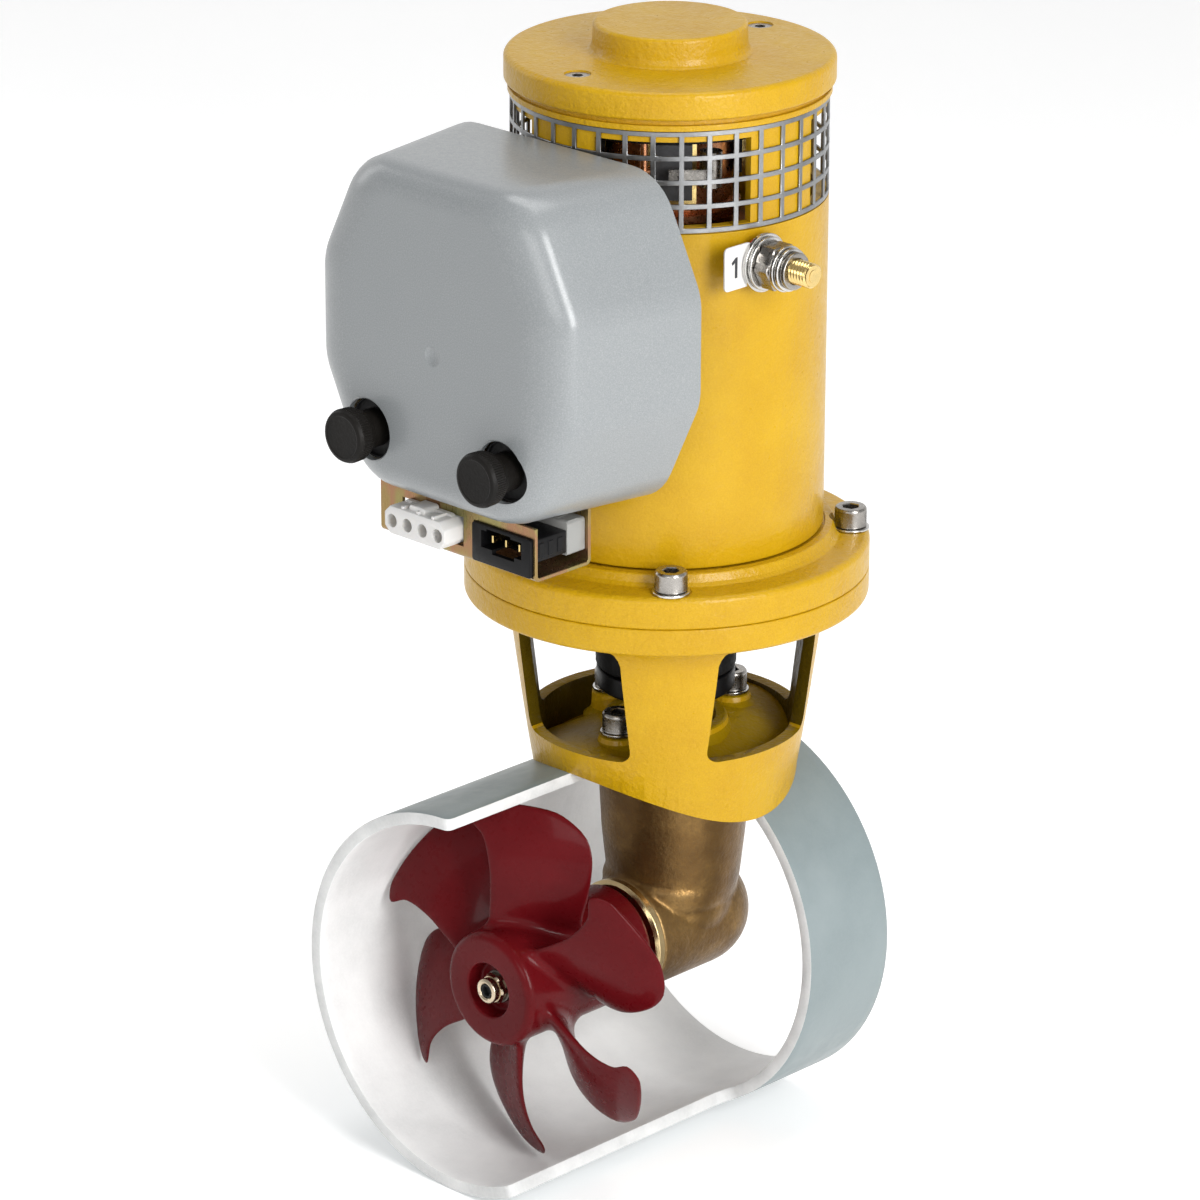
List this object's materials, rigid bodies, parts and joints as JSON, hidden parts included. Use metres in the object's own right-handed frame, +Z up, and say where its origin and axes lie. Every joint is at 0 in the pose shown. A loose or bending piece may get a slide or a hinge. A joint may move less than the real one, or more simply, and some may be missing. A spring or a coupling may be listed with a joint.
{
  "type": "bow thruster",
  "caption": "Electric tunnel bow thruster: upright motor with grey control cover on a support bracket, coupled through a bevel gear leg to a bladed propeller in a cut-away tunnel.",
  "frame": {"origin": "where the tunnel and propeller axis crosses the motor and input shaft axis", "axes": "+Z up along the motor axis, +Y along the tunnel axis away from the propeller, +X towards the cut-away window"},
  "size_m": [0.1832, 0.2246, 0.4593],
  "materials": {
    "tunnel_gelcoat": "satin blue-grey gelcoat outside, off-white laminate inside",
    "yellow_paint": "gloss textured yellow",
    "grey_cover": "satin grey, fine grain",
    "bronze": "satin cast bronze",
    "red_propeller": "glossy dark red",
    "black_rubber": "matte",
    "black_plastic": "matte",
    "stainless": "satin",
    "steel": "ground",
    "laminations": "dull",
    "copper": "lacquered copper",
    "stud_brass": "bright",
    "yellow_zinc": "iridescent yellow zinc",
    "white_nylon": "satin",
    "red_plastic": "satin",
    "carbon": "sooty graphite",
    "clear_plastic": "translucent"
  },
  "bodies": {
    "base": {"tunnel": "tunnel_gelcoat", "support_bracket": "yellow_paint", "leg_housing": "bronze", "leg_screws": "stainless", "input_bearings": "steel", "shaft_seals": "black_rubber", "gear_cap": "bronze", "propeller_bearings": "steel", "motor_flange": "yellow_paint", "flange_bolts": "stainless", "motor_tube": "yellow_paint", "pole_shoes": "laminations", "field_coils": "copper", "motor_bearings": "steel", "end_cap": "yellow_paint", "cap_screws": "stainless", "mesh_guard": "stainless", "brush_ring": "black_plastic", "brush_boxes": "stud_brass", "brush_springs": "stainless", "brush_leads": "copper", "terminal_studs": "stud_brass", "terminal_insulators": "red_plastic", "terminal_nuts": "stainless", "terminal_tag": "white_nylon", "relay_bracket": "yellow_zinc", "bracket_spacers": "stainless", "knob_studs": "stainless", "relay_cases": "stainless", "relay_coils": "copper", "relay_contacts": "stud_brass", "busbars": "copper", "white_connector": "white_nylon", "black_connector": "black_plastic", "connector_pins": "stud_brass", "terminal_block": "clear_plastic"},
    "armature": {"armature_core": "laminations", "armature_windings": "copper", "commutator": "copper", "armature_shaft": "steel", "coupling_upper": "black_plastic", "coupling_spider": "black_rubber", "coupling_lower": "black_plastic", "input_shaft": "steel", "pinion": "steel"},
    "propeller_unit": {"propeller": "red_propeller", "drive_pin": "steel", "propeller_shaft": "steel", "propeller_nut": "stainless", "crown_gear": "steel"},
    "brush_carbon_1": {"brush_1": "carbon"},
    "brush_carbon_2": {"brush_2": "carbon"},
    "brush_carbon_3": {"brush_3": "carbon"},
    "brush_carbon_4": {"brush_4": "carbon"},
    "plunger_left": {"relay_plunger_1": "steel"},
    "plunger_right": {"relay_plunger_2": "steel"},
    "control_cover": {"cover": "grey_cover"},
    "thumb_nut_left": {"knob_left": "black_plastic"},
    "thumb_nut_right": {"knob_right": "black_plastic"}
  },
  "joints": [
    {"name": "armature_spin", "type": "hinge", "parent": "base", "child": "armature", "pos_m": [0, 0, 0.2], "axis": [0, 0, 1], "continuous": true},
    {"name": "propeller_spin", "type": "hinge", "parent": "base", "child": "propeller_unit", "pos_m": [0, -0.07, 0], "axis": [0, 1, 0], "continuous": true},
    {"name": "brush_1_slide", "type": "slide", "parent": "base", "child": "brush_carbon_1", "axis": [0.7071, 0.7071, 0], "range_m": [0, 0.004], "stiffness_N_per_m": 150, "springref_m": -0.006},
    {"name": "brush_2_slide", "type": "slide", "parent": "base", "child": "brush_carbon_2", "axis": [-0.7071, 0.7071, 0], "range_m": [0, 0.004], "stiffness_N_per_m": 150, "springref_m": -0.006},
    {"name": "brush_3_slide", "type": "slide", "parent": "base", "child": "brush_carbon_3", "axis": [-0.7071, -0.7071, 0], "range_m": [0, 0.004], "stiffness_N_per_m": 150, "springref_m": -0.006},
    {"name": "brush_4_slide", "type": "slide", "parent": "base", "child": "brush_carbon_4", "axis": [0.7071, -0.7071, 0], "range_m": [0, 0.004], "stiffness_N_per_m": 150, "springref_m": -0.006},
    {"name": "plunger_left_slide", "type": "slide", "parent": "base", "child": "plunger_left", "axis": [0, 0, 1], "range_m": [0, 0.0035], "stiffness_N_per_m": 300, "springref_m": -0.003},
    {"name": "plunger_right_slide", "type": "slide", "parent": "base", "child": "plunger_right", "axis": [0, 0, 1], "range_m": [0, 0.0035], "stiffness_N_per_m": 300, "springref_m": -0.003},
    {"name": "cover_slide", "type": "slide", "parent": "base", "child": "control_cover", "axis": [0, -1, 0], "range_m": [0, 0.12]},
    {"name": "knob_left_turn", "type": "hinge", "parent": "control_cover", "child": "thumb_nut_left", "pos_m": [-0.0362, -0.138, 0.2345], "axis": [0, -1, 0], "range_deg": [0, 2160]},
    {"name": "knob_right_turn", "type": "hinge", "parent": "control_cover", "child": "thumb_nut_right", "pos_m": [0.0362, -0.138, 0.2345], "axis": [0, -1, 0], "range_deg": [0, 2160]}
  ],
  "couplings": [
    {"joint": "propeller_spin", "follows": "armature_spin", "ratio": -0.6}
  ]
}
